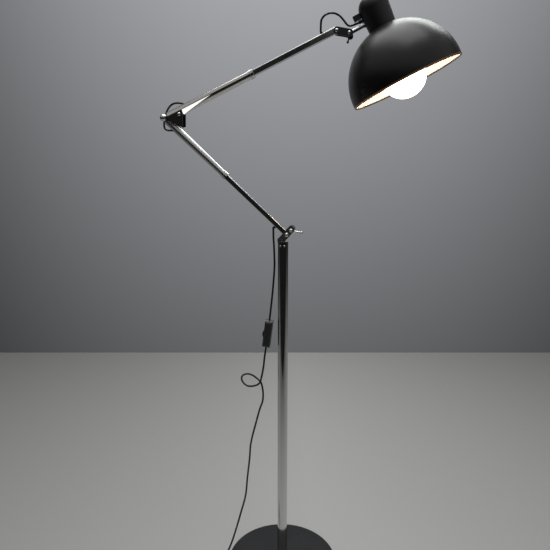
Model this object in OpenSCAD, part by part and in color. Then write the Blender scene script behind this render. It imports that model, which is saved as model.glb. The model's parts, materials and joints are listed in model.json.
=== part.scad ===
// Adjustable arm floor lamp: round base, chrome pole, two friction-held arms and a dome shade.
// Origin: centre of the base on the floor. +Z is up, the arms lie in the XZ plane, -Y is the front.

/* [Base and pole] */
// Diameter of the round base
base_d = 284; // [270:1:288]
// Height of the base
base_h = 18; // [16:1:22]
// Outside diameter of the pole
pole_d = 25; // [24:1:27]
// Height of the top of the pole cap
pole_top = 866; // [700:1:1000]

/* [Arms] */
// Distance between the elbow and the pole pivot
lower_len = 390.4; // [388:0.1:392]
// Slope of the lower arm below the horizontal, seen from the elbow
lower_tilt = 42.8; // [42:0.1:43.5]
// Distance from the elbow to the end pivot of the upper arm
upper_len = 429.5; // [428:0.5:431]
// Slope of the upper arm above the horizontal
upper_tilt = 24.6; // [24:0.1:25]
// Side of the lower arm's square bar
lower_bar_w = 12; // [11:0.5:12]
// Side of the upper arm's square bar
upper_bar_w = 13; // [12:0.5:13]

/* [Head] */
// Radius of the dome shade
shade_r = 121; // [120:1:121]
// Thickness of the shade
shade_t = 1; // [1:0.1:1.4]
// Lean of the shade's axis from the vertical
head_tilt = 26.2; // [24:0.1:28]
// Distance between the two pivots of the head link
link_len = 27.5; // [27:0.5:29]
// Slope of the head link below the horizontal
link_tilt = 11.3; // [10:0.1:12]
// Radius of the socket cap
cap_r = 32.5; // [31:0.5:33]
// Diameter of the globe bulb
bulb_d = 95; // [90:1:97]

/* [Cord] */
// Diameter of the cord
cord_d = 4.6; // [4.4:0.1:4.8]

/* [Hidden] */
$fn = 64;
eps = 0.01;
slip = 0.05; // radial clearance of a running fit
gap = 0.4; // side clearance between a pivoting part and its fork

// Base and pole
base_r = base_d / 2;
base_wall = 1.5;
base_edge_r = 6;
pad_h = 2;
weight_top = 14;
pole_r = pole_d / 2;
pole_wall = 1.5;
pole_bottom = 7; // above the washer of the foot bolt
washer_r = 16;
pole_end = pole_top - 2; // the cap covers the pole's end
cap_screw_at = [22.6, pole_top - 6]; // angle to either side of the front, and height
spigot_r = 7;
spigot_len = 40;
foot_bolt_r = 5;

// Fork on the pole
fork_disc_h = 3;
fork_z = pole_top + 0.3;
fork_cheek_t = 3;
fork_w = 16;
fork_foot = [-4, pole_top + 6];
fork_tip = [20.3, pole_top + 33.5];
pivot = [9.5, pole_top + 20];
clamp_at = [19.3, pole_top + 30.2];
pivot_pin_r = 3;
clamp_pin_r = 2.5;
lever_r = 1.8;
lever_ends = [clamp_at + [0, -3.4], clamp_at + [21.7, -7.6]];
lever_y = 15;

// Arms
elbow = [pivot[0] - lower_len * cos(lower_tilt), pivot[1] + lower_len * sin(lower_tilt)];
elbow_lift = 1.7; // the elbow pin sits this far above the upper arm's axis
end_drop = 2.3; // the pin at the head end sits this far below it
lower_tube_r = [9.4, 7.6];
lower_tube_x = [10, 189];
upper_tube_r = [11, 9.2];
upper_tube_x = [10, 223];
tube_wall = 1.2;
ferrule_len = 11;
ferrule_grip = 4;
bar_corner = 2;
bar_bore_r = 3.5;
elbow_pin_r = 3.5;
elbow_eye_r = 8;
elbow_dome_r = 8;
plate_y = 9.8;
plate_t = 2.5;
plate_apex_r = 6.3;
plate_outline = [[-5, -0.6], [47.5, -0.6], [44.5, -12], [33.2, -35], [26, -34], [8.2, -8.4], [3.5, -3.5]];
plate_screw = [37.2, -7.2];
cut_edge = [[48, 0], [45, -12]]; // the upper tube is open below the elbow plates up to this line
lower_cut_edge = [[30, 0], [30, 12]];
cord_r = cord_d / 2;
gland_r = 3.5;

// Head
link_w = 15;
link_t = 2.5;
link_pin_r = 2.5;
head_reach = 66.1; // from the head pivot to the shade's axis
head_drop = 139.8; // from the head pivot down to the shade's centre
rod_r = 4;
cap_wall = 2;
cap_foot_z = 112;
cap_flare = 3.5; // the cap is this much narrower at its foot
cap_straight = 163;
cap_round_r = 26;
rim_drop = 7;
rim_bead_r = 1.8;
holder_r = 19.5;
holder_z = [64, 132];
bulb_z = 9;
bulb_r = bulb_d / 2;
glass_t = 1;
neck_r = 15;
screw_r = 13;
screw_z = [66, 95];

h1 = upper_point(upper_len, -end_drop);
h2 = [h1[0] + link_len * cos(link_tilt), h1[1] - link_len * sin(link_tilt)];
head_c = [
    h2[0] + head_reach * cos(head_tilt) + head_drop * sin(head_tilt),
    h2[1] + head_reach * sin(head_tilt) - head_drop * cos(head_tilt)
];

// In-line switch
switch_top = [-32.6, 676];
switch_end = [-41, 608];
switch_len = norm(switch_top - switch_end);
switch_w = 26;
switch_h = 18;
switch_lean = atan2(switch_top[0] - switch_end[0], switch_top[1] - switch_end[1]);
rocker_len = 21;
rocker_w = 12;
rocker_lean = 6;

// Coil and plug on the floor
coil_at = [-222, -84];
coil_r = 25;
coil_rows = 3;
coil_lift = 1; // thickness of the tie under the coil
plug_y = coil_at[1] - coil_r - cord_d;
plug_x = [-188, -160, -126];
plug_pin_len = 19;
plug_pin_gap = 19;

// Routes of the cord, in order from the lamp head to the floor
link_route = [
    [83.1, 0, 1323.2], [80.7, 0, 1325.8], [80.7, -1, 1341], [82, -2, 1350], [88, -3, 1357.5],
    [98, -3, 1362], [110, -3, 1361.5], [121, -2, 1356], [129, -1, 1347.5]
];
head_route = [
    [129.2, -1, 1347.3], [135.5, 0, 1340], [143, 0, 1336], [159.4, 0, 1340.6], [162.6, 0, 1342]
];
elbow_route = [
    [-221.4, 11.1, 1177], [-223.7, 13.6, 1176.2], [-232, 17, 1181.5], [-240, 18.7, 1184.5],
    [-250, 19, 1186], [-261, 19.5, 1185], [-270, 19.5, 1180], [-277, 19, 1171], [-282, 19, 1160],
    [-285, 18.5, 1149], [-286.5, 18, 1138], [-285, 17.5, 1129], [-278, 17, 1124.5], [-267, 17, 1124],
    [-256, 17, 1122], [-247, 16, 1118], [-239, 12.2, 1113.6], [-237.2, 9.4, 1112.5]
];
drop_route = [
    [-20.3, 0, 902.5], [-23.2, 0, 900.5], [-22.8, -1, 892], [-22.5, -2, 878], [-21.2, -3, 860],
    [-20.3, -3, 836], [-20, -3, 806], [-24, -3, 752], [-29, -2, 705], [-32.6, 0, 676]
];
floor_route = [
    [-41, 0, 608], [-45, 0, 582], [-48, -1, 554], [-52, -4, 531], [-55, -8, 518], [-60, -11, 512],
    [-72, -14, 508], [-87, -12, 507], [-99, -6, 513], [-104, 0, 521], [-101, 6, 527], [-91, 11, 529],
    [-78, 13, 525], [-64, 11, 516], [-57, 8, 511], [-53, 6, 501], [-50, 4, 482], [-51, 1, 462],
    [-58, 0, 441], [-65, -2, 414], [-80, -5, 352], [-84, -7, 307], [-90, -9, 251], [-95, -11, 201],
    [-107, -14, 153], [-120, -18, 105], [-133, -23, 62], [-147, -29, 30], [-162, -37, 11],
    [-179, -45, 4], [-195, -50, 3.3], [-208, -51.5, 3.3]
];

// ---- Frames ----

// World [x, z] of a point in the upper arm's own frame, whose x axis runs along its bar
function upper_point(x, z) = [
    elbow[0] + x * cos(upper_tilt) - (z - elbow_lift) * sin(upper_tilt),
    elbow[1] + x * sin(upper_tilt) + (z - elbow_lift) * cos(upper_tilt)
];

module at_xz(p) {
    translate([p[0], 0, p[1]]) children();
}

module in_lower_arm() {
    at_xz(elbow) rotate([0, lower_tilt, 0]) children();
}

module in_upper_arm() {
    at_xz(elbow) rotate([0, -upper_tilt, 0]) translate([0, 0, -elbow_lift]) children();
}

// The head's own frame: origin at the shade's centre, z along its axis towards the cap
module in_head() {
    at_xz(head_c) rotate([0, -head_tilt, 0]) children();
}

module in_switch() {
    at_xz((switch_top + switch_end) / 2) rotate([0, switch_lean, 0]) children();
}

// ---- Shared shapes ----

// Cylinder along Y between two y values, at an [x, z] point
module pin_y(p, r, y0, y1) {
    translate([p[0], y0, p[1]]) rotate([-90, 0, 0]) cylinder(h = y1 - y0, r = r);
}

// Plate in the XZ plane between two y values, from a 2D outline drawn in x and z
module plate_xz(y0, y1) {
    translate([0, y1, 0]) rotate([90, 0, 0]) linear_extrude(height = y1 - y0) children();
}

// Round-cornered square bar along X
module square_bar(x0, x1, w, corner) {
    half = w / 2;
    translate([x0, -half + corner, -half]) cube([x1 - x0, w - 2 * corner, w]);
    translate([x0, -half, -half + corner]) cube([x1 - x0, w, w - 2 * corner]);
    for (y = [-1, 1], z = [-1, 1])
        translate([x0, y * (half - corner), z * (half - corner)])
            rotate([0, 90, 0]) cylinder(h = x1 - x0, r = corner);
}

module rod_x(x0, x1, r0, r1) {
    translate([x0, 0, 0]) rotate([0, 90, 0]) cylinder(h = x1 - x0, r1 = r0, r2 = r1);
}

// Cylinder between two points
module rod_between(a, b, r) {
    d = b - a;
    translate(a) rotate([0, acos(d[2] / norm(d)), atan2(d[1], d[0])]) cylinder(h = norm(d), r = r);
}

// Low domed fastener head on the -Y side, its flat at y
module dome_head(p, y, r, h) {
    ball_r = (r * r + h * h) / (2 * h);
    intersection() {
        translate([p[0], y - h + ball_r, p[1]]) sphere(r = ball_r);
        pin_y(p, r, y - h - 1, y);
    }
}

module hex_nut(p, y0, y1, r) {
    translate([p[0], y0, p[1]]) rotate([-90, 0, 0]) cylinder(h = y1 - y0, r = r, $fn = 6);
}

// ---- Cord ----

function spline(a, b, c, d, t) = 0.5 * (
    2 * b + (c - a) * t + (2 * a - 5 * b + 4 * c - d) * t * t + (3 * b - a - 3 * c + d) * t * t * t
);

// Points along a smooth curve through a route, with steps points to a stretch
function along(route, steps) = [
    for (i = [0 : len(route) - 2])
        for (k = [0 : (i == len(route) - 2 ? steps : steps - 1)])
            spline(
                route[max(i - 1, 0)], route[i], route[i + 1], route[min(i + 2, len(route) - 1)],
                k / steps
            )
];

function unit(v) = v / norm(v);

function tangent(p, i) = unit(p[min(i + 1, len(p) - 1)] - p[max(i - 1, 0)]);

// A direction square to the curve, carried from ring to ring so that the tube doesn't twist
function carried(p, i) = i == 0
    ? unit(cross(tangent(p, 0), [0.31, 0.94, 0.12]))
    : let (last = carried(p, i - 1), t = tangent(p, i)) unit(last - t * (last * t));

module cord_tube(route, steps, sides = 10) {
    p = along(route, steps);
    normals = [for (i = [0 : len(p) - 1]) carried(p, i)];
    rings = [
        for (i = [0 : len(p) - 1])
            let (n = normals[i], b = cross(tangent(p, i), n))
                for (k = [0 : sides - 1])
                    p[i] + cord_r * (cos(360 * k / sides) * n + sin(360 * k / sides) * b)
    ];
    last = (len(p) - 1) * sides;
    walls = [
        for (i = [0 : len(p) - 2], k = [0 : sides - 1])
            let (a = i * sides + k, b = i * sides + (k + 1) % sides)
                [a, a + sides, b + sides, b]
    ];
    start_cap = [[for (k = [0 : sides - 1]) k]];
    end_cap = [[for (k = [sides - 1 : -1 : 0]) last + k]];
    polyhedron(points = rings, faces = concat(walls, start_cap, end_cap));
}

// ---- Base and pole ----

module rounded_disc_profile(r, h, corner) {
    square([r - corner, h]);
    square([r, h - corner]);
    translate([r - corner, h - corner]) intersection() {
        circle(r = corner);
        square(corner);
    }
}

module base_cover() {
    color("black") difference() {
        translate([0, 0, pad_h - 0.5]) rotate_extrude($fn = 128)
            rounded_disc_profile(base_r, base_h - pad_h + 0.5, base_edge_r);
        translate([0, 0, -eps]) rotate_extrude($fn = 128)
            rounded_disc_profile(base_r - base_wall, base_h - base_wall + eps, base_edge_r - base_wall);
        cylinder(h = base_h + 1, r = pole_r + 0.1);
    }
}

module base_weight() {
    color("dimgray") difference() {
        translate([0, 0, pad_h]) cylinder(h = weight_top - pad_h, r = base_r - 4, $fn = 128);
        cylinder(h = base_h, r = pole_r + 0.2);
        cylinder(h = pole_bottom, r = washer_r + 0.5);
    }
}

module base_pad() {
    color("black") cylinder(h = pad_h, r = base_r - 5, $fn = 128);
}

module pole() {
    color("silver") difference() {
        translate([0, 0, pole_bottom]) cylinder(h = pole_end - pole_bottom, r = pole_r);
        translate([0, 0, pole_bottom - 1]) cylinder(h = pole_end, r = pole_r - pole_wall);
        both_cap_screws(1.1);
    }
}

module foot_plug() {
    color("gray") translate([0, 0, pole_bottom]) difference() {
        cylinder(h = 30, r = pole_r - pole_wall - slip);
        translate([0, 0, -1]) cylinder(h = 26, r = foot_bolt_r + slip);
    }
}

module foot_bolt() {
    color("gray") {
        translate([0, 0, pole_bottom - 0.1]) cylinder(h = 22, r = foot_bolt_r);
        translate([0, 0, pole_bottom - 1.7]) cylinder(h = 1.6, r = washer_r);
        translate([0, 0, pad_h + 0.3]) cylinder(h = 3.2, r = 8.5, $fn = 6);
    }
}

module pole_cap() {
    color("silver") difference() {
        translate([0, 0, pole_end + 0.02]) cylinder(h = pole_top - pole_end - 0.02, r = pole_r);
        translate([0, 0, pole_end - 1]) cylinder(h = 5, r = spigot_r + 0.3);
    }
}

// Shanks of the two small screws that go through the pole's wall into the bush
module both_cap_screws(r) {
    for (a = [-cap_screw_at[0], cap_screw_at[0]])
        rotate([0, 0, a]) translate([0, -pole_r + 4, cap_screw_at[1]]) rotate([90, 0, 0])
            cylinder(h = 4.2, r = r);
}

module cap_screws() {
    color("silver") {
        both_cap_screws(1);
        for (a = [-cap_screw_at[0], cap_screw_at[0]]) rotate([0, 0, a]) intersection() {
            translate([0, -pole_r - 0.02, cap_screw_at[1]]) rotate([90, 0, 0]) cylinder(h = 1.4, r = 2.2);
            translate([0, -pole_r + 1.5, cap_screw_at[1]]) sphere(r = 3);
        }
    }
}

module swivel_bush() {
    color("tan") translate([0, 0, pole_end - spigot_len - 4]) difference() {
        cylinder(h = spigot_len + 4, r = pole_r - pole_wall - slip);
        translate([0, 0, -1]) cylinder(h = spigot_len + 6, r = spigot_r + slip);
        translate([0, 0, spigot_len + 4 - pole_end]) both_cap_screws(1 + slip);
    }
}

// ---- Fork on the pole ----

module swivel_spigot() {
    color("silver") {
        translate([0, 0, pole_end - spigot_len]) cylinder(h = spigot_len + 3, r = spigot_r);
        translate([0, 0, fork_z]) cylinder(h = fork_disc_h, r = pole_r + 0.5);
        translate([-12, -6.4, fork_z + fork_disc_h - eps]) cube([17, 12.8, 8]);
    }
}

module fork_outline() {
    difference() {
        hull() {
            translate(fork_foot) circle(d = fork_w, $fn = 32);
            translate(fork_tip) circle(d = fork_w, $fn = 32);
        }
        translate([-50, fork_z + fork_disc_h - 50]) square([100, 50]);
    }
}

module fork_cheek(y0, y1) {
    difference() {
        plate_xz(y0, y1) fork_outline();
        pin_y(pivot, pivot_pin_r + slip, y0 - 1, y1 + 1);
        pin_y(clamp_at, clamp_pin_r + slip, y0 - 1, y1 + 1);
    }
}

fork_in = 6 + gap + 0.1;
fork_out = fork_in + fork_cheek_t;

module fork_front_cheek() {
    color("silver") fork_cheek(-fork_out, -fork_in);
}

module fork_back_cheek() {
    color("silver") fork_cheek(fork_in, fork_out);
}

module pivot_bolt() {
    color("silver") {
        pin_y(pivot, pivot_pin_r, -fork_out, fork_out + 4);
        dome_head(pivot, -fork_out, 5, 3.2);
    }
}

module pivot_nut() {
    color("silver") difference() {
        hex_nut(pivot, fork_out, fork_out + 3.6, 5);
        pin_y(pivot, pivot_pin_r + slip, fork_out - 1, fork_out + 5);
    }
}

module clamp_bolt() {
    color("silver") {
        pin_y(clamp_at, clamp_pin_r, -fork_out, lever_y);
        dome_head(clamp_at, -fork_out, 4.5, 3.2);
    }
}

module clamp_lever() {
    a = lever_ends[0];
    b = lever_ends[1];
    color("silver") difference() {
        union() {
            pin_y(clamp_at, 5.5, fork_out + 0.3, lever_y + 4);
            rod_between([a[0], lever_y, a[1]], [b[0], lever_y, b[1]], lever_r);
            translate([b[0], lever_y, b[1]]) sphere(r = 3.3);
        }
        pin_y(clamp_at, clamp_pin_r + slip, fork_out, lever_y + 0.5);
    }
}

// ---- Lower arm ----

// Bar with an eye at its far end; the eye's pin may sit off the bar's axis
module arm_bar(x0, x1, w, pin_r, pin_z, hole) {
    difference() {
        union() {
            square_bar(x0, x1, w, bar_corner);
            pin_y([x1, pin_z], w / 2, -w / 2, w / 2);
        }
        pin_y([x1, pin_z], pin_r + slip, -w, w);
        rod_x(x0 - 1, x1 - w / 2 - 6, bar_bore_r, bar_bore_r);
        rod_between(hole[0], hole[1], gland_r + 0.1);
    }
}

// A cable gland is a short slanted plug; each is given by its inner and outer end in an arm's frame
lower_exit = [[359, 0, -1], [357, 0, -9.6]];
lower_entry = [[62, 0, 0], [54.6, 10.6, -1.6]];
upper_entry = [[72, 0, 1], [60.2, 12.2, 2.1]];
upper_exit = [[401.5, 0, 1], [398.5, 0, 9.6]];

module lower_bar() {
    x0 = lower_tube_x[1] + ferrule_len - 2 * ferrule_grip + 0.2;
    color("silver") in_lower_arm() arm_bar(x0, lower_len, lower_bar_w, pivot_pin_r, 0, lower_exit);
}

module ferrule(x_mid, r, tube_r, bar_w) {
    x0 = x_mid - ferrule_len / 2;
    difference() {
        rod_x(x0, x0 + ferrule_len, r, r);
        rod_x(x0 - 1, x0 + ferrule_grip, tube_r + slip, tube_r + slip);
        square_bar(x0 + ferrule_len - ferrule_grip, x0 + ferrule_len + 1, bar_w + 2 * slip, bar_corner);
        rod_x(x0, x0 + ferrule_len, bar_bore_r, bar_bore_r);
    }
    translate([x0 + ferrule_len * 0.35, 0, 0]) rotate([0, 90, 0]) rotate_extrude()
        translate([r, 0]) circle(r = 0.7, $fn = 24);
}

module lower_ferrule() {
    x_mid = lower_tube_x[1] + ferrule_len / 2 - ferrule_grip;
    color("silver") in_lower_arm()
        ferrule(x_mid, lower_tube_r[1] + 1.4, lower_tube_r[1] + 0.1, lower_bar_w);
}

// Tapered tube, open on one side (side = 1 above, -1 below) as far as an edge from its axis
module arm_tube(x, r, side, edge, hole) {
    far = edge[0] + (edge[1] - edge[0]) * 2;
    difference() {
        rod_x(x[0], x[1], r[0], r[1]);
        rod_x(x[0] - 1, x[1] + 1, r[0] - tube_wall, r[1] - tube_wall);
        plate_xz(-20, 20) polygon([[x[0] - 5, 0], edge[0], far, [x[0] - 5, side * 24]]);
        rod_between(hole[0], hole[1], gland_r + 0.1);
    }
}

module lower_tube() {
    color("silver") in_lower_arm()
        arm_tube(lower_tube_x, lower_tube_r, 1, lower_cut_edge, lower_entry);
}

module lower_elbow_eye() {
    color("silver") in_lower_arm() difference() {
        union() {
            pin_y([0, 0], elbow_eye_r, -plate_y + gap, plate_y - gap);
            intersection() {
                translate([0, -6, -6]) cube([44, 12, 10]);
                rod_x(0, 44, 7.9, 7.4);
            }
        }
        pin_y([0, 0], elbow_pin_r + slip, -20, 20);
    }
}

module gland(ends) {
    along_gland = (ends[1] - ends[0]) / norm(ends[1] - ends[0]);
    difference() {
        rod_between(ends[0], ends[1], gland_r);
        rod_between(ends[1] - 3 * along_gland, ends[1] + along_gland, cord_r + 0.4);
    }
}

module lower_cord_glands() {
    color("black") in_lower_arm() {
        gland(lower_exit);
        gland(lower_entry);
    }
}

module lower_cable() {
    color("dimgray") in_lower_arm() rod_x(68, 352, cord_r, cord_r);
}

// ---- Elbow ----

module elbow_plate(y0, y1) {
    in_upper_arm() difference() {
        union() {
            plate_xz(y0, y1) polygon(plate_outline);
            pin_y([0, elbow_lift], plate_apex_r, y0, y1);
        }
        pin_y([0, elbow_lift], elbow_pin_r + slip, y0 - 1, y1 + 1);
        pin_y(plate_screw, 2 + slip, y0 - 1, y1 + 1);
    }
}

module elbow_front_plate() {
    color("black") elbow_plate(-plate_y - plate_t, -plate_y);
}

module elbow_back_plate() {
    color("black") elbow_plate(plate_y, plate_y + plate_t);
}

module elbow_block() {
    color("black") in_upper_arm() difference() {
        union() {
            translate([31, -plate_y + slip, -11]) cube([12.4, 2 * plate_y - 2 * slip, 10]);
            rod_x(40, 57, 9, 9);
        }
        translate([20, -20, -1]) cube([28.4, 40, 30]);
        pin_y(plate_screw, 2 + slip, -20, 20);
    }
}

module elbow_screw() {
    y = plate_y + plate_t;
    color("silver") in_upper_arm() {
        pin_y(plate_screw, 2, -y, y + 2);
        dome_head(plate_screw, -y, 4.5, 2.6);
        translate([0, eps, 0]) hex_nut(plate_screw, y, y + 2.4, 4);
    }
}

module elbow_pin() {
    y = plate_y + plate_t;
    color("silver") in_upper_arm() {
        pin_y([0, elbow_lift], elbow_pin_r, -y, y + 1);
        dome_head([0, elbow_lift], -y, elbow_dome_r, elbow_dome_r - 0.5);
    }
}

module elbow_nut() {
    y = plate_y + plate_t;
    color("silver") in_upper_arm() difference() {
        pin_y([0, elbow_lift], 6.5, y, y + 3);
        pin_y([0, elbow_lift], elbow_pin_r + slip, y - 1, y + 1.1);
    }
}

// ---- Upper arm ----

module upper_tube() {
    color("silver") in_upper_arm() arm_tube(upper_tube_x, upper_tube_r, -1, cut_edge, upper_entry);
}

module upper_ferrule() {
    x_mid = upper_tube_x[1] + ferrule_len / 2 - ferrule_grip;
    color("silver") in_upper_arm()
        ferrule(x_mid, upper_tube_r[1] + 1.2, upper_tube_r[1] + 0.1, upper_bar_w);
}

module upper_bar() {
    x0 = upper_tube_x[1] + ferrule_len - 2 * ferrule_grip + 0.2;
    color("silver") in_upper_arm()
        arm_bar(x0, upper_len, upper_bar_w, link_pin_r, -end_drop, upper_exit);
}

module upper_cord_glands() {
    color("black") in_upper_arm() {
        gland(upper_exit);
        gland(upper_entry);
    }
}

module upper_cable() {
    color("dimgray") in_upper_arm() rod_x(78, 394, cord_r, cord_r);
}

// ---- Head link ----

link_in = upper_bar_w / 2 + gap;
link_out = link_in + link_t;

module link_plate(y0, y1) {
    color("black") difference() {
        plate_xz(y0, y1) hull() {
            translate(h1) circle(d = link_w, $fn = 32);
            translate(h2) circle(d = link_w, $fn = 32);
        }
        for (p = [h1, h2])
            pin_y(p, link_pin_r + slip, y0 - 1, y1 + 1);
    }
}

module link_front_plate() {
    link_plate(-link_out, -link_in);
}

module link_back_plate() {
    link_plate(link_in, link_out);
}

module link_screws() {
    color("silver") for (p = [h1, h2]) {
        pin_y(p, link_pin_r, -link_out, link_out + 3);
        dome_head(p, -link_out, 4.2, 2.6);
    }
}

module link_nut() {
    color("silver") difference() {
        hex_nut(h1, link_out, link_out + 3, 4.5);
        pin_y(h1, link_pin_r + slip, link_out - 1, link_out + 5);
    }
}

// Black hub with a short chrome lever, on the back of the head pivot
module head_clamp() {
    tip = h2 + [-4, -14];
    hub_mid = h2 + [1.5, -3.5];
    color("black") difference() {
        union() {
            pin_y(h2, 7, link_out + 0.3, link_out + 10);
            pin_y(hub_mid, 6.2, link_out + 0.3, link_out + 8);
            rod_between([h2[0], link_out + 6, h2[1]], [tip[0], link_out + 9, tip[1]], 1.6);
            translate([tip[0], link_out + 9, tip[1]]) sphere(r = 2.8);
        }
        pin_y(h2, link_pin_r + slip, link_out, link_out + 3.2);
    }
}

// ---- Head ----

module head_rod() {
    eye_w = upper_bar_w / 2;
    color("silver") in_head() difference() {
        union() {
            translate([0, 0, head_drop]) rod_x(-head_reach, -cap_r + 12, rod_r, rod_r);
            pin_y([-head_reach, head_drop], 6.5, -eye_w, eye_w);
            translate([0, 0, head_drop]) rod_x(-cap_r - 1.1, -cap_r + 1.1, 5.6, 5.6);
        }
        pin_y([-head_reach, head_drop], link_pin_r + slip, -20, 20);
    }
}

module rod_nut() {
    x0 = -cap_r + cap_wall + 2.9;
    color("silver") in_head() translate([0, 0, head_drop]) difference() {
        translate([x0, 0, 0]) rotate([0, 90, 0]) cylinder(h = 6, r = 5.8, $fn = 6);
        rod_x(x0 - 1, x0 + 7, rod_r + slip, rod_r + slip);
    }
}

module cap_profile(r, round_r) {
    polygon([
        [0, 0], [r - cap_flare, 0], [r - cap_flare, cap_foot_z], [r, cap_straight], [0, cap_straight]
    ]);
    square([r - round_r, cap_straight + round_r]);
    translate([r - round_r, cap_straight]) intersection() {
        circle(r = round_r);
        square(round_r);
    }
}

module socket_cap() {
    color("black") in_head() difference() {
        rotate_extrude() cap_profile(cap_r, cap_round_r);
        rotate_extrude() translate([0, -1]) cap_profile(cap_r - cap_wall, cap_round_r - cap_wall + 1);
        sphere(r = shade_r + slip, $fn = 128);
        translate([0, 0, head_drop]) rod_x(-cap_r - 5, -10, rod_r + 0.1, rod_r + 0.1);
        rod_between(cap_entry[0], cap_entry[1], gland_r + 0.1);
    }
}

cap_entry = [[-28.9, 0, 149.3], [-40, 0, 149.7]];

module cap_gland() {
    color("black") in_head() gland(cap_entry);
}

module cord_clamp() {
    color("black") in_head() difference() {
        translate([-cap_r - 15, -6, 154.6]) cube([16.5, 12, 11]);
        translate([0, 0, 130]) cylinder(h = 60, r = cap_r + slip);
        translate([-cap_r - 16, 0, 160.1]) rod_x(0, 3, 2.2, 2.2);
    }
}

module shade() {
    hole_r = holder_r + 0.5;
    color("black") in_head() {
        difference() {
            sphere(r = shade_r, $fn = 128);
            sphere(r = shade_r - shade_t, $fn = 128);
            translate([0, 0, -2 * shade_r]) cylinder(h = 2 * shade_r, r = 2 * shade_r);
            cylinder(h = 2 * shade_r, r = hole_r);
        }
        translate([0, 0, -rim_drop]) difference() {
            cylinder(h = rim_drop + eps, r = shade_r, $fn = 128);
            translate([0, 0, -1]) cylinder(h = rim_drop + 2, r = shade_r - shade_t, $fn = 128);
        }
        translate([0, 0, -rim_drop]) rotate_extrude($fn = 128)
            translate([shade_r - rim_bead_r, 0]) circle(r = rim_bead_r, $fn = 24);
    }
}

module shade_ring() {
    z = sqrt(pow(shade_r - shade_t, 2) - pow(25, 2)) - 0.3;
    color("white") in_head() difference() {
        translate([0, 0, z - 6]) cylinder(h = 6, r = 25);
        translate([0, 0, z - 7]) cylinder(h = 8, r = holder_r + slip);
    }
}

module lamp_holder() {
    color("black") in_head() difference() {
        union() {
            translate([0, 0, holder_z[0]]) cylinder(h = holder_z[1] - holder_z[0], r = holder_r);
            difference() {
                translate([0, 0, 110]) cylinder(h = 14, r = 24);
                sphere(r = shade_r + slip, $fn = 128);
            }
        }
        translate([0, 0, holder_z[0] - 1]) cylinder(h = 39, r = screw_r + 2.4);
    }
}

module holder_contacts() {
    color("gold") in_head() {
        translate([0, 0, 70]) difference() {
            cylinder(h = 30, r = screw_r + 2.3);
            translate([0, 0, -1]) cylinder(h = 32, r = screw_r + 1.5);
        }
        translate([0, 0, 98.4]) cylinder(h = 3.5, r = 4);
    }
}

module glass_outline(r, neck) {
    rotate_extrude($fn = 96) difference() {
        union() {
            translate([0, bulb_z]) circle(r = r, $fn = 96);
            polygon([
                [0, bulb_z], [r * 0.8, bulb_z + r * 0.6], [neck, screw_z[0] - 6],
                [neck, screw_z[0] + 3], [0, screw_z[0] + 3]
            ]);
        }
        translate([-200, -200]) square([200, 400]);
    }
}

module bulb_globe() {
    color("white") in_head() difference() {
        glass_outline(bulb_r, neck_r - 2.5);
        glass_outline(bulb_r - glass_t, neck_r - 3.5);
    }
}

module bulb_cap() {
    color("silver") in_head() difference() {
        union() {
            translate([0, 0, screw_z[0] + 3.1]) cylinder(h = screw_z[1] - screw_z[0] - 4, r = screw_r);
            translate([0, 0, screw_z[1] - 1]) cylinder(h = 2.5, r1 = 8, r2 = 5);
            for (k = [0 : 4])
                translate([0, 0, screw_z[0] + 8 + 3.6 * k]) rotate_extrude()
                    translate([screw_r, 0]) circle(r = 0.8, $fn = 24);
        }
        translate([0, 0, screw_z[0]]) cylinder(h = 22, r = screw_r - 0.8);
    }
}

// ---- In-line switch ----

// Half of the switch's housing; side is -1 for the rocker's side and 1 for the back
module switch_half(side, h) {
    half_w = switch_w / 2;
    half_len = switch_len / 2;
    corner = 9;
    intersection() {
        rotate([0, 90, 0]) translate([0, 0, side < 0 ? -h : 0]) linear_extrude(height = h) hull()
            for (y = [-1, 1], z = [-1, 1])
                translate([z * (half_len - corner), y * (half_w - corner)]) circle(r = corner, $fn = 32);
        translate([0, 0, -half_len]) cylinder(h = 2 * half_len, r = switch_w * 0.52);
    }
}

module switch_bore() {
    translate([0, 0, -switch_len]) cylinder(h = 2 * switch_len, r = cord_r + slip);
}

module switch_base() {
    color("black") in_switch() difference() {
        translate([0.02, 0, 0]) switch_half(1, switch_h / 2);
        switch_bore();
    }
}

module switch_cover() {
    color("black") in_switch() difference() {
        switch_half(-1, switch_h / 2);
        switch_bore();
        translate([-switch_h, -rocker_w / 2 - 0.4, -rocker_len / 2 - 0.5])
            cube([switch_h - 3, rocker_w + 0.8, rocker_len + 1]);
    }
}

rocker_axis = [-6, 0];

module switch_rocker() {
    color("dimgray") in_switch() at_xz(rocker_axis) {
        rotate([0, rocker_lean, 0]) difference() {
            intersection() {
                pin_y([9, 0], 15.5, -rocker_w / 2, rocker_w / 2);
                translate([-12, -rocker_w, -rocker_len / 2]) cube([12, 2 * rocker_w, rocker_len]);
            }
            translate([-1.5, -rocker_w, -rocker_len]) cube([9, 2 * rocker_w, 2 * rocker_len]);
        }
        pin_y([0, 0], 1.6, -rocker_w / 2, rocker_w / 2);
    }
}

// ---- Free cord ----

module cord_head_loop() {
    color("black") cord_tube(head_route, 1);
}

module cord_link_loop() {
    color("black") cord_tube(link_route, 1);
}

module cord_elbow_loop() {
    color("black") cord_tube(elbow_route, 1);
}

module cord_drop() {
    color("black") cord_tube(drop_route, 2);
}

module cord_floor() {
    color("black") cord_tube(floor_route, 2);
}

module cord_coil() {
    half = coil_rows * cord_r;
    color("black") translate([coil_at[0], coil_at[1], coil_lift]) rotate_extrude()
        translate([coil_r - half, 0]) square([2 * half, 2 * half]);
}

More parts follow.
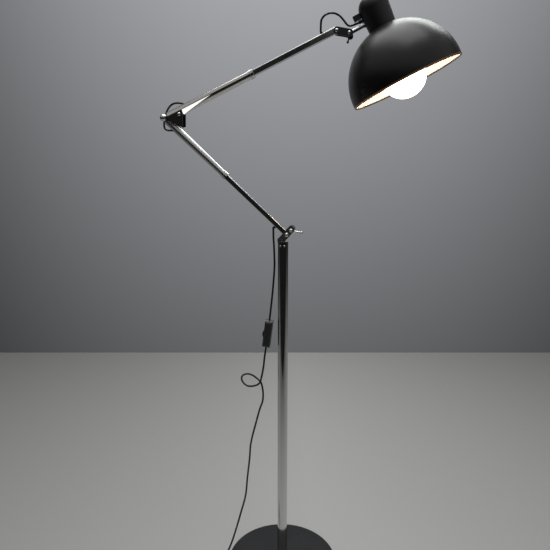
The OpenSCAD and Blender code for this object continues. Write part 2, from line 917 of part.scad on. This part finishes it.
// Flat two-pin plug with a tapered strain relief, lying on the floor
module plug_body() {
    body_h = 14;
    color("black") translate([0, plug_y, body_h / 2]) {
        rod_x(plug_x[0], plug_x[1] + 1, 3, 5);
        translate([plug_x[1], 0, -body_h / 2]) linear_extrude(height = body_h) polygon([
            [0, -7], [10, -13], [plug_x[2] - plug_x[1], -15],
            [plug_x[2] - plug_x[1], 15], [10, 13], [0, 7]
        ]);
    }
}

module plug_pins() {
    color("silver") for (s = [-1, 1])
        translate([plug_x[2] + 0.05, plug_y + s * plug_pin_gap / 2, 7]) rotate([0, 90, 0])
            cylinder(h = plug_pin_len, r = 2);
}

base_cover();
base_weight();
base_pad();
pole();
foot_plug();
foot_bolt();
pole_cap();
cap_screws();
swivel_bush();
swivel_spigot();
fork_front_cheek();
fork_back_cheek();
pivot_bolt();
pivot_nut();
clamp_bolt();
clamp_lever();
lower_bar();
lower_ferrule();
lower_tube();
lower_elbow_eye();
lower_cord_glands();
lower_cable();
elbow_front_plate();
elbow_back_plate();
elbow_block();
elbow_screw();
elbow_pin();
elbow_nut();
upper_tube();
upper_ferrule();
upper_bar();
upper_cord_glands();
upper_cable();
link_front_plate();
link_back_plate();
link_screws();
link_nut();
head_clamp();
head_rod();
rod_nut();
socket_cap();
cord_clamp();
cap_gland();
shade();
shade_ring();
lamp_holder();
holder_contacts();
bulb_globe();
bulb_cap();
switch_base();
switch_cover();
switch_rocker();
cord_head_loop();
cord_link_loop();
cord_elbow_loop();
cord_drop();
cord_floor();
cord_coil();
plug_body();
plug_pins();
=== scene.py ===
import json
import math

import bmesh
import bpy
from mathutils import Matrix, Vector


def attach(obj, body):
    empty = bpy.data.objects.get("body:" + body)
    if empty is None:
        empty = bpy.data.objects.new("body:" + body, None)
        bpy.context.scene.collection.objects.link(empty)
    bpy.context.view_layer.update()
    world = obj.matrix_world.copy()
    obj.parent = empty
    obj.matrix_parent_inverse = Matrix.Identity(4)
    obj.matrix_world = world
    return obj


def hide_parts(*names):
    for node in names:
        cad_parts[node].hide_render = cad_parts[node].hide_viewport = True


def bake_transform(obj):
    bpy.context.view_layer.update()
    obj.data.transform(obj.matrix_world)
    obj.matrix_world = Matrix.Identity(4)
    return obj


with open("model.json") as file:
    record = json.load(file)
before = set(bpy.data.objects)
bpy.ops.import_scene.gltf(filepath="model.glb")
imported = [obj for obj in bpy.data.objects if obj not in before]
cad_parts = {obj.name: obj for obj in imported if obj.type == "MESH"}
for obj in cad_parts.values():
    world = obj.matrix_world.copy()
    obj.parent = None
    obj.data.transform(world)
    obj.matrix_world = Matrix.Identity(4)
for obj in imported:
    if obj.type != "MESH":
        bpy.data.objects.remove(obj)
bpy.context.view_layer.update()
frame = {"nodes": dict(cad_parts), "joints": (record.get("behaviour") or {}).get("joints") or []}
nodes = frame["nodes"]
scene = bpy.context.scene


def joint_at(name):
    """A point on a joint's axis, in metres, as the frame gives it."""
    return Vector(next(joint["pos_m"] for joint in frame["joints"] if joint["name"] == name))


# ---------------------------------------------------------------- camera
CAM_YAW = 9
CAM_DROP = 11.9375
camera = bpy.data.objects.new("camera", bpy.data.cameras.new("camera"))
camera.data.lens = 36
camera.data.sensor_width = 36
camera.data.clip_start = 0.05
camera.data.clip_end = 60
camera.location = (0.1814, -1.2662, 1.059)
camera.rotation_euler = (math.radians(90 - CAM_DROP), 0, math.radians(CAM_YAW))
scene.collection.objects.link(camera)
scene.camera = camera


# ---------------------------------------------------------------- materials
def node_at(tree, kind, **values):
    """A shader node with its sockets set by name and its properties by lower-case keyword."""
    n = tree.nodes.new(kind)
    for key, value in values.items():
        if key in n.bl_rna.properties:
            setattr(n, key, value)
        else:
            n.inputs[key.replace("_", " ")].default_value = value
    return n


def surface(name, color, rough, metallic=0.0, grain=300.0, bump=0.05, vary=0.12, spread=0.15,
            coat=0.0, depth=0.0002, rough_scale=12.0):
    """A principled material whose colour, roughness and bump vary with fine noise in object space."""
    m = bpy.data.materials.new(name)
    m.use_nodes = True
    t = m.node_tree
    shader = t.nodes["Principled BSDF"]
    shader.inputs["Metallic"].default_value = metallic
    shader.inputs["Coat Weight"].default_value = coat
    shader.inputs["Coat Roughness"].default_value = 0.05
    place = node_at(t, "ShaderNodeTexCoord")
    coarse = node_at(t, "ShaderNodeTexNoise", Scale=rough_scale, Detail=6.0, Roughness=0.6)
    fine = node_at(t, "ShaderNodeTexNoise", Scale=grain, Detail=3.0)
    t.links.new(place.outputs["Object"], coarse.inputs["Vector"])
    t.links.new(place.outputs["Object"], fine.inputs["Vector"])
    wear = node_at(t, "ShaderNodeMapRange", From_Min=0.3, From_Max=0.7)
    wear.inputs["To Min"].default_value = rough * (1 - spread)
    wear.inputs["To Max"].default_value = rough * (1 + spread)
    t.links.new(coarse.outputs["Fac"], wear.inputs["Value"])
    t.links.new(wear.outputs["Result"], shader.inputs["Roughness"])
    tint = node_at(t, "ShaderNodeMix", data_type="RGBA")
    tint.inputs["A"].default_value = (*[c * (1 - vary) for c in color], 1)
    tint.inputs["B"].default_value = (*[min(1, c * (1 + vary)) for c in color], 1)
    t.links.new(coarse.outputs["Fac"], tint.inputs["Factor"])
    t.links.new(tint.outputs["Result"], shader.inputs["Base Color"])
    relief = node_at(t, "ShaderNodeBump", Strength=bump, Distance=depth)
    t.links.new(fine.outputs["Fac"], relief.inputs["Height"])
    t.links.new(relief.outputs["Normal"], shader.inputs["Normal"])
    return m


chrome = surface("chrome", (0.66, 0.66, 0.655), 0.10, metallic=1.0, grain=90, bump=0.01, vary=0.03,
                 spread=0.4)
satin_chrome = surface("satin_chrome", (0.62, 0.62, 0.61), 0.28, metallic=1.0, grain=120, bump=0.02,
                       vary=0.04)
lacquer = surface("black_lacquer", (0.007, 0.007, 0.0075), 0.25, grain=160, bump=0.05, coat=0.2)
plate_black = surface("black_plate", (0.02, 0.02, 0.021), 0.42, metallic=0.2, grain=600, bump=0.2)
plastic_black = surface("black_plastic", (0.009, 0.009, 0.0095), 0.42, grain=900, bump=0.35, depth=0.0003)
link_grey = surface("link_plate", (0.03, 0.03, 0.032), 0.35, metallic=0.4, grain=600, bump=0.15)
switch_grey = surface("switch_plastic", (0.03, 0.03, 0.031), 0.42, grain=900, bump=0.25)
cord_black = surface("cord_black", (0.006, 0.006, 0.0065), 0.45, grain=700, bump=0.2)
iron = surface("cast_iron", (0.08, 0.08, 0.08), 0.75, metallic=0.6, grain=220, bump=0.8, depth=0.001)
steel = surface("turned_steel", (0.5, 0.5, 0.5), 0.35, metallic=1.0, grain=400, bump=0.1)
foam = surface("foam_pad", (0.03, 0.03, 0.03), 0.9, grain=900, bump=0.8, depth=0.0006)
nylon = surface("nylon", (0.62, 0.58, 0.5), 0.5, grain=300, bump=0.1)
brass = surface("brass", (0.75, 0.56, 0.25), 0.3, metallic=1.0, grain=300, bump=0.1)
thread_metal = surface("thread_metal", (0.7, 0.7, 0.7), 0.3, metallic=1.0, grain=300, bump=0.1)
white_plastic = surface("white_plastic", (0.8, 0.79, 0.75), 0.5, grain=400, bump=0.1)


def paint(material, *names):
    for name in names:
        mesh = nodes[name].data
        mesh.materials.clear()
        mesh.materials.append(material)


paint(lacquer, "base_cover")
paint(iron, "base_weight")
paint(satin_chrome, "fork_front_cheek", "fork_back_cheek", "lower_tube")
paint(foam, "base_pad")
paint(steel, "foot_plug", "foot_bolt", "rod_nut", "lower_elbow_eye")
paint(nylon, "swivel_bush")
paint(plate_black, "elbow_front_plate", "elbow_back_plate")
paint(link_grey, "link_front_plate", "link_back_plate")
paint(
    chrome, "pole", "pole_cap", "cap_screws", "swivel_spigot", "pivot_bolt",
    "pivot_nut", "clamp_bolt", "clamp_lever", "lower_bar", "lower_ferrule", "elbow_screw",
    "elbow_pin", "elbow_nut", "upper_ferrule", "upper_bar", "link_screws", "link_nut",
    "head_rod", "plug_pins",
)
paint(
    plastic_black, "lower_cord_glands", "upper_cord_glands", "elbow_block", "head_clamp", "socket_cap",
    "cord_clamp", "cap_gland", "lamp_holder", "switch_rocker", "plug_body",
)
paint(switch_grey, "switch_base", "switch_cover")
paint(cord_black, "lower_cable", "upper_cable", "cord_head_loop", "cord_link_loop", "cord_elbow_loop",
      "cord_drop", "cord_floor", "cord_coil")
paint(brass, "holder_contacts")
paint(thread_metal, "bulb_cap")
paint(white_plastic, "shade_ring")


def position_along(t, place, origin, direction):
    """How far a point of the surface lies along a direction from an origin, in metres."""
    n = node_at(t, "ShaderNodeVectorMath", operation="DOT_PRODUCT")
    n.inputs[1].default_value = direction
    t.links.new(place.outputs["Object"], n.inputs[0])
    return calc(t, "SUBTRACT", n.outputs["Value"], Vector(origin).dot(Vector(direction)))


def calc(t, operation, a, b, clamp=False):
    """One step of arithmetic on sockets or numbers."""
    n = node_at(t, "ShaderNodeMath", operation=operation, use_clamp=clamp)
    for socket, value in zip(n.inputs, (a, b)):
        if isinstance(value, (int, float)):
            socket.default_value = value
        else:
            t.links.new(value, socket)
    return n.outputs["Value"]


def shade_paint(centre, axis, split):
    """Black outside and on the rolled rim, which carries a faint painted glow of the bulb's light, and warm
    white inside.
    """
    rim_height = -0.0052
    painted_bulb_glow = 0.07
    scuff_floor = 0.60
    scuff_gain = 1.2
    m = surface("shade_paint", (0.5, 0.5, 0.5), 0.35, grain=500, bump=0.03, spread=0.25)
    t = m.node_tree
    shader = t.nodes["Principled BSDF"]
    place = node_at(t, "ShaderNodeTexCoord")
    radius = node_at(t, "ShaderNodeVectorMath", operation="DISTANCE")
    radius.inputs[1].default_value = centre
    t.links.new(place.outputs["Object"], radius.inputs[0])
    outside = calc(t, "GREATER_THAN", radius.outputs["Value"], split)
    rim = calc(t, "LESS_THAN", position_along(t, place, centre, axis), rim_height)
    scuffs = node_at(t, "ShaderNodeTexNoise", Scale=22.0, Detail=10.0, Roughness=0.8)
    t.links.new(place.outputs["Object"], scuffs.inputs["Vector"])
    worn = calc(t, "SUBTRACT", scuffs.outputs["Fac"], scuff_floor, True)
    worn = calc(t, "MULTIPLY", worn, scuff_gain)
    black = node_at(t, "ShaderNodeMix", data_type="RGBA")
    black.inputs["A"].default_value = (0.006, 0.006, 0.0065, 1)
    black.inputs["B"].default_value = (0.30, 0.29, 0.28, 1)
    t.links.new(worn, black.inputs["Factor"])
    pick = node_at(t, "ShaderNodeMix", data_type="RGBA")
    pick.inputs["A"].default_value = (0.80, 0.78, 0.74, 1)
    t.links.new(black.outputs["Result"], pick.inputs["B"])
    t.links.new(calc(t, "MAXIMUM", outside, rim), pick.inputs["Factor"])
    t.links.new(pick.outputs["Result"], shader.inputs["Base Color"])
    # Painted light: the rim glows orange as a stand-in for the bulb's light spilling past it.
    shader.inputs["Emission Color"].default_value = (1.0, 0.42, 0.16, 1)
    t.links.new(calc(t, "MULTIPLY", rim, painted_bulb_glow), shader.inputs["Emission Strength"])
    return m


# The shade's centre lies out along the head from its joint, then down the shade's axis
HEAD_LEAN = math.radians(26.2)
HEAD_REACH = 0.0661
HEAD_DROP = 0.1398
SHADE_SPLIT = 0.1205  # a radius between the inner and the outer face
HEAD_OUT = Vector((math.cos(HEAD_LEAN), 0, math.sin(HEAD_LEAN)))
HEAD_AXIS = Vector((-math.sin(HEAD_LEAN), 0, math.cos(HEAD_LEAN)))
HEAD_CENTRE = joint_at("head_tilt") + HEAD_REACH * HEAD_OUT - HEAD_DROP * HEAD_AXIS
paint(shade_paint(HEAD_CENTRE, HEAD_AXIS, SHADE_SPLIT), "shade")


def painted_reflection_wedge(elbow, slope, lift):
    """Chrome whose lower front half has a glowing pale wedge, a painted reflection, that tapers out along the
    arm.
    """
    sharpness = 1400  # of the wedge's edges, per metre
    tip = 0.131  # where along the arm the lower line meets the tube's axis
    rise = 0.13  # of the lower line, per metre along
    upper_line = -0.0004
    glow = 1.1
    m = surface("upper_tube_painted_reflection", (0.72, 0.70, 0.68), 0.14, metallic=1.0, grain=90, bump=0.02,
                vary=0.03)
    t = m.node_tree
    shader = t.nodes["Principled BSDF"]
    place = node_at(t, "ShaderNodeTexCoord")
    along_arm = position_along(t, place, elbow, (math.cos(slope), 0, math.sin(slope)))
    above = position_along(t, place, elbow, (-math.sin(slope), 0, math.cos(slope)))
    above = calc(t, "ADD", above, lift)
    front = position_along(t, place, (0, 0, 0), (0, -1, 0))
    lower_line = calc(t, "MULTIPLY", calc(t, "SUBTRACT", along_arm, tip), rise)
    inside = calc(t, "MULTIPLY", calc(t, "SUBTRACT", above, lower_line), sharpness, True)
    below = calc(t, "MULTIPLY", calc(t, "SUBTRACT", upper_line, above), sharpness, True)
    facing = calc(t, "MULTIPLY", front, sharpness, True)
    # Painted reflection: this mask makes a pale wedge glow on the chrome's lower front.
    reflection_mask = calc(t, "MULTIPLY", calc(t, "MULTIPLY", inside, below), facing)
    shader.inputs["Emission Color"].default_value = (1.0, 0.98, 0.95, 1)
    t.links.new(calc(t, "MULTIPLY", reflection_mask, glow), shader.inputs["Emission Strength"])
    return m


UPPER_SLOPE = math.radians(24.6)
UPPER_LIFT = 0.0017  # how far the upper tube's axis passes below the elbow's
paint(painted_reflection_wedge(joint_at("elbow"), UPPER_SLOPE, UPPER_LIFT), "upper_tube")


def bulb_material():
    m = surface("lit_globe", (0.9, 0.88, 0.84), 0.2, grain=200, bump=0.02, coat=0.4)
    shader = m.node_tree.nodes["Principled BSDF"]
    shader.inputs["Emission Color"].default_value = (1.0, 0.86, 0.7, 1)
    shader.inputs["Emission Strength"].default_value = 7.0
    return m


paint(bulb_material(), "bulb_globe")


# ---------------------------------------------------------------- cords
# Routes are in millimetres
CORD_D = 0.0046
LINK_ROUTE = [
    (83.1, 0, 1323.2), (80.7, 0, 1325.8), (80.7, -1, 1341), (82, -2, 1350), (88, -3, 1357.5), (98, -3, 1362),
    (110, -3, 1361.5), (121, -2, 1356), (129, -1, 1347.5),
]
HEAD_ROUTE = [
    (129.2, -1, 1347.3), (135.5, 0, 1340), (143, 0, 1336), (159.4, 0, 1340.6), (162.6, 0, 1342),
]
ELBOW_ROUTE = [
    (-221.4, 11.1, 1177), (-223.7, 13.6, 1176.2), (-232, 17, 1181.5), (-240, 18.7, 1184.5), (-250, 19, 1186),
    (-261, 19.5, 1185), (-270, 19.5, 1180), (-277, 19, 1171), (-282, 19, 1160), (-285, 18.5, 1149),
    (-286.5, 18, 1138), (-285, 17.5, 1129), (-278, 17, 1124.5), (-267, 17, 1124), (-256, 17, 1122),
    (-247, 16, 1118), (-239, 12.2, 1113.6), (-237.2, 9.4, 1112.5),
]
DROP_ROUTE = [
    (-20.3, 0, 902.5), (-23.2, 0, 900.5), (-22.8, -1, 892), (-22.5, -2, 878), (-21.2, -3, 860),
    (-20.3, -3, 836), (-20, -3, 806), (-24, -3, 752), (-29, -2, 705), (-32.6, 0, 676),
]
FLOOR_ROUTE = [
    (-41, 0, 608), (-45, 0, 582), (-48, -1, 554), (-52, -4, 531), (-55, -8, 518), (-60, -11, 512),
    (-72, -14, 508), (-87, -12, 507), (-99, -6, 513), (-104, 0, 521), (-101, 6, 527), (-91, 11, 529),
    (-78, 13, 525), (-64, 11, 516), (-57, 8, 511), (-53, 6, 501), (-50, 4, 482), (-51, 1, 462), (-58, 0, 441),
    (-65, -2, 414), (-80, -5, 352), (-84, -7, 307), (-90, -9, 251), (-95, -11, 201), (-107, -14, 153),
    (-120, -18, 105), (-133, -23, 62), (-147, -29, 30), (-162, -37, 11), (-179, -45, 4), (-195, -50, 3.3),
    (-208, -51.5, 3.3),
]
COIL_LEAD = (-222, -54.4, 3.3)  # steers the last stretch into the coil and isn't itself drawn
COIL_AT = Vector((-0.222, -0.084, 0.0033))
COIL_R = 0.025
# Column (-1 inner, 1 outer) and row of each turn, in the order the cord was wound
COIL_CELLS = [(1, 0), (0, 0), (-1, 0), (-1, 1), (-1, 2), (0, 2), (0, 1), (1, 1), (1, 2)]
COIL_STEPS = 40
TAIL_ROUTE = [(-210, -113.6, 11.8), (-200, -113.6, 9.8), (-191, -113.6, 7.8), (-186, -113.6, 7)]
TIE_R = 0.0006
TIE_HALF_WIDTH = 0.0081
TIE_HALF_HEIGHT = 0.0072
TIE_STEPS = 48


def metres(route):
    return [Vector(p) / 1000 for p in route]


def spline(a, b, c, d, t):
    return 0.5 * (2 * b + (c - a) * t + (2 * a - 5 * b + 4 * c - d) * t * t + (3 * b - a - 3 * c + d) * t ** 3)


def along(route, steps):
    """Points on a smooth curve through a route."""
    last = len(route) - 1
    points = []
    for i in range(last):
        a, b, c, d = route[max(i - 1, 0)], route[i], route[i + 1], route[min(i + 2, last)]
        points += [spline(a, b, c, d, k / steps) for k in range(steps)]
    return points + [route[last]]


def coil_points():
    """The turns of the coil: each holds its place for most of the way round, then moves to the next."""
    points = []
    shift = 0.22
    for turn, (column, row) in enumerate(COIL_CELLS):
        half = turn == len(COIL_CELLS) - 1
        then = COIL_CELLS[min(turn + 1, len(COIL_CELLS) - 1)]
        count = COIL_STEPS // 2 if half else COIL_STEPS
        for k in range(count):
            part = k / COIL_STEPS
            move = max(0.0, (part - 1 + shift) / shift)
            move = move * move * (3 - 2 * move)
            col = column + (then[0] - column) * move
            level = row + (then[1] - row) * move
            angle = math.radians(90) + 2 * math.pi * part
            r = COIL_R + col * CORD_D
            points.append(COIL_AT + Vector((r * math.cos(angle), r * math.sin(angle), level * CORD_D)))
    return points


def mesh_object(name, bm, material, smooth=True):
    mesh = bpy.data.meshes.new(name)
    bm.to_mesh(mesh)
    bm.free()
    mesh.materials.append(material)
    if smooth:
        for face in mesh.polygons:
            face.use_smooth = True
    o = bpy.data.objects.new(name, mesh)
    scene.collection.objects.link(o)
    return o


def tube(name, points, radius, material, sides):
    """A tube along points, its ends closed."""
    bm = bmesh.new()
    rings = []
    side = None
    for i, p in enumerate(points):
        ahead = points[min(i + 1, len(points) - 1)]
        behind = points[max(i - 1, 0)]
        direction = (ahead - behind).normalized()
        if side is None:
            side = direction.cross(Vector((0.31, 0.94, 0.12))).normalized()
        else:
            side = (side - direction * side.dot(direction)).normalized()
        other = direction.cross(side)
        rings.append([
            bm.verts.new(p + radius * (math.cos(a) * side + math.sin(a) * other))
            for a in (2 * math.pi * k / sides for k in range(sides))
        ])
    for low, high in zip(rings, rings[1:]):
        for k in range(sides):
            bm.faces.new((low[k], low[(k + 1) % sides], high[(k + 1) % sides], high[k]))
    bm.faces.new(list(reversed(rings[0])))
    bm.faces.new(rings[-1])
    return mesh_object(name, bm, material)


def length_of(points):
    return sum((b - a).length for a, b in zip(points, points[1:]))


def free_cord(name, points, node, bodies, bend, far_end, length, lay="hanging", replaced=(), **more):
    piece = tube(name, points, CORD_D / 2, cord_black, sides=14)
    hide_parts(node, *replaced)
    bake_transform(piece)
    print(name, "length", round(length_of(points), 4), "declared", length)
    return piece


def flattened(value):
    """Squares a circle's sine or cosine off, for a loop that hugs a square bundle."""
    return math.copysign(abs(value) ** 0.55, value)


def tie_points():
    """A closed loop round the coil where nine strands lie side by side in a square."""
    middle = COIL_AT + Vector((-COIL_R, 0, CORD_D))
    angles = [2 * math.pi * k / TIE_STEPS for k in range(TIE_STEPS + 1)]
    return [
        middle + Vector((
            TIE_HALF_WIDTH * flattened(math.cos(a)), 0, TIE_HALF_HEIGHT * flattened(math.sin(a)),
        ))
        for a in angles
    ]


tie = tube("coil_tie", tie_points(), TIE_R, plastic_black, sides=8)
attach(tie, "root")

free_cord("cord_link", along(metres(LINK_ROUTE), 6), "cord_link_loop", ("upper_arm", "link"),
          ((0.082, 0, 1.328), (0.129, 0, 1.3475)), "object", 0.0855)
free_cord("cord_head", along(metres(HEAD_ROUTE), 6), "cord_head_loop", ("link", "head"),
          ((0.129, 0, 1.3475), (0.159, 0, 1.3406)), "object", 0.039)
free_cord("cord_elbow", along(metres(ELBOW_ROUTE), 6), "cord_elbow_loop", ("upper_arm", "lower_arm"),
          ((-0.250, 0.019, 1.186), (-0.250, 0.017, 1.120)), "object", 0.164)
free_cord("cord_switch", along(metres(DROP_ROUTE), 6), "cord_drop", ("lower_arm", "bracket"),
          ((-0.0225, 0, 0.896), (-0.0212, 0, 0.84)), "object", 0.23)
floor_points = along(metres([*FLOOR_ROUTE, COIL_LEAD]), 6)[:-1]
floor_points += coil_points() + along(metres(TAIL_ROUTE), 4)
free_cord("cord_mains", floor_points, "cord_floor", ("bracket", "root"),
          ((-0.041, 0, 0.6), (-0.16, -0.036, 0.02)), "plug", 2.16, lay="coiled", replaced=("cord_coil",),
          with_pieces=[nodes["plug_body"], nodes["plug_pins"], tie])


# ---------------------------------------------------------------- surroundings
def plane(name, corners, material):
    bm = bmesh.new()
    bm.faces.new([bm.verts.new(c) for c in corners])
    o = mesh_object(name, bm, material, smooth=False)
    return o


WALL_AWAY = 2.915  # from the point under the camera to the foot of the wall
ROOM_HALF = 6
WALL_TOP = 5
FLOOR_DEEP = 2.95
LIT_ASIDE = 0.12  # how far right of the middle of the view the painted light on the room is brightest
SHADE_ENDS = 3.3  # the floor's painted shade is darkest from this far in front of the wall
SHADE_DEEP = 1.6

yaw = math.radians(CAM_YAW)
ahead = Vector((-math.sin(yaw), math.cos(yaw), 0))
across = Vector((math.cos(yaw), math.sin(yaw), 0))
foot = Vector((camera.location.x, camera.location.y, 0)) + WALL_AWAY * ahead
brightest = foot + LIT_ASIDE * across


def backdrop(name, level, rise, lean, fall, power):
    """A plain paint with painted light: the brightness that it rises to along one direction and loses to both
    sides.
    """
    ceiling = 0.66
    gamma = 2.2
    m = surface(name, (0.3, 0.3, 0.3), 0.6, grain=40, bump=0.03, vary=0.02, rough_scale=1.0)
    t = m.node_tree
    t.nodes["Principled BSDF"].inputs["Specular IOR Level"].default_value = 0.1
    place = node_at(t, "ShaderNodeTexCoord")
    side = calc(t, "ABSOLUTE", position_along(t, place, brightest, across), 0)
    reach = position_along(t, place, brightest, rise)
    up = calc(t, "ADD", calc(t, "MULTIPLY", reach, lean), level)
    painted_side_falloff = calc(t, "SUBTRACT", 1, calc(t, "MULTIPLY", calc(t, "POWER", side, power), fall))
    value = calc(t, "POWER", calc(t, "MULTIPLY", calc(t, "MINIMUM", up, ceiling), painted_side_falloff), gamma)
    return m, value, reach


def tinted(t, value, tint):
    color = node_at(t, "ShaderNodeMix", data_type="RGBA")
    color.inputs["A"].default_value = (0, 0, 0, 1)
    color.inputs["B"].default_value = (*tint, 1)
    t.links.new(value, color.inputs["Factor"])
    return color.outputs["Result"]


def self_lit(m, value, tint, strength, takes_light):
    """Lets a paint glow by its painted brightness, which stands in for the room's light, and take light from
    the lamps by a share of it.
    """
    t = m.node_tree
    shader = t.nodes["Principled BSDF"]
    t.links.new(tinted(t, value, tint), shader.inputs["Emission Color"])
    t.links.new(tinted(t, calc(t, "MULTIPLY", value, takes_light), tint), shader.inputs["Base Color"])
    shader.inputs["Emission Strength"].default_value = strength


def wall_painted_light():
    m, value, _ = backdrop("wall_painted_light", 0.396, (0, 0, 1), 0.133, 0.12, 2)
    # Painted light: the wall glows by its painted brightness rather than taking the lamps' light.
    self_lit(m, value, (0.965, 0.995, 1.045), 1.0, 0.02)
    return m


def floor_painted_light():
    """The floor's brightness is painted light, with painted shade in front of the lamp, which is what the
    chrome mirrors.
    """
    m, value, reach = backdrop("floor_painted_light", 0.545, tuple(-ahead), 0.043, 0.14, 1)
    t = m.node_tree
    # Painted shade: the floor darkens towards the camera.
    painted_shade_fade = calc(t, "DIVIDE", calc(t, "SUBTRACT", SHADE_ENDS, reach), SHADE_DEEP, True)
    self_lit(m, calc(t, "MULTIPLY", value, painted_shade_fade), (1.0, 0.99, 0.975), 0.5, 0.75)
    return m


left, right = foot - ROOM_HALF * across, foot + ROOM_HALF * across
top = Vector((0, 0, WALL_TOP))
near = -FLOOR_DEEP * ahead
plane("wall", [left, right, right + top, left + top], wall_painted_light())
plane("floor", [left + near, right + near, right, left], floor_painted_light())


def light(name, at, target, size, power, color=(1, 1, 1)):
    lamp = bpy.data.lights.new(name, "AREA")
    lamp.shape = "RECTANGLE"
    lamp.size, lamp.size_y = size
    lamp.energy = power
    lamp.color = color
    o = bpy.data.objects.new(name, lamp)
    o.location = at
    o.rotation_euler = (Vector(target) - Vector(at)).to_track_quat("-Z", "Y").to_euler()
    scene.collection.objects.link(o)


light("ceiling_soft", (-0.2, 0.2, 3.2), (-0.1, 0.3, 0), (2.6, 1.6), 36)
light("ceiling_back", (0.35, 1.25, 2.6), (0.28, 0, 1.25), (1.7, 0.8), 22, (0.95, 1.0, 0.96))

world = bpy.data.worlds.new("world")
world.use_nodes = True
sky = world.node_tree
place = node_at(sky, "ShaderNodeTexCoord")
split = node_at(sky, "ShaderNodeSeparateXYZ")
sky.links.new(place.outputs["Generated"], split.inputs["Vector"])
band = node_at(sky, "ShaderNodeMapRange", From_Min=0.20, From_Max=0.28, To_Min=0.010, To_Max=0.36)
sky.links.new(split.outputs["Z"], band.inputs["Value"])
sky.links.new(band.outputs["Result"], sky.nodes["Background"].inputs["Strength"])
sky.nodes["Background"].inputs["Color"].default_value = (1.0, 0.99, 0.97, 1)
scene.world = world
scene.view_settings.view_transform = "Standard"
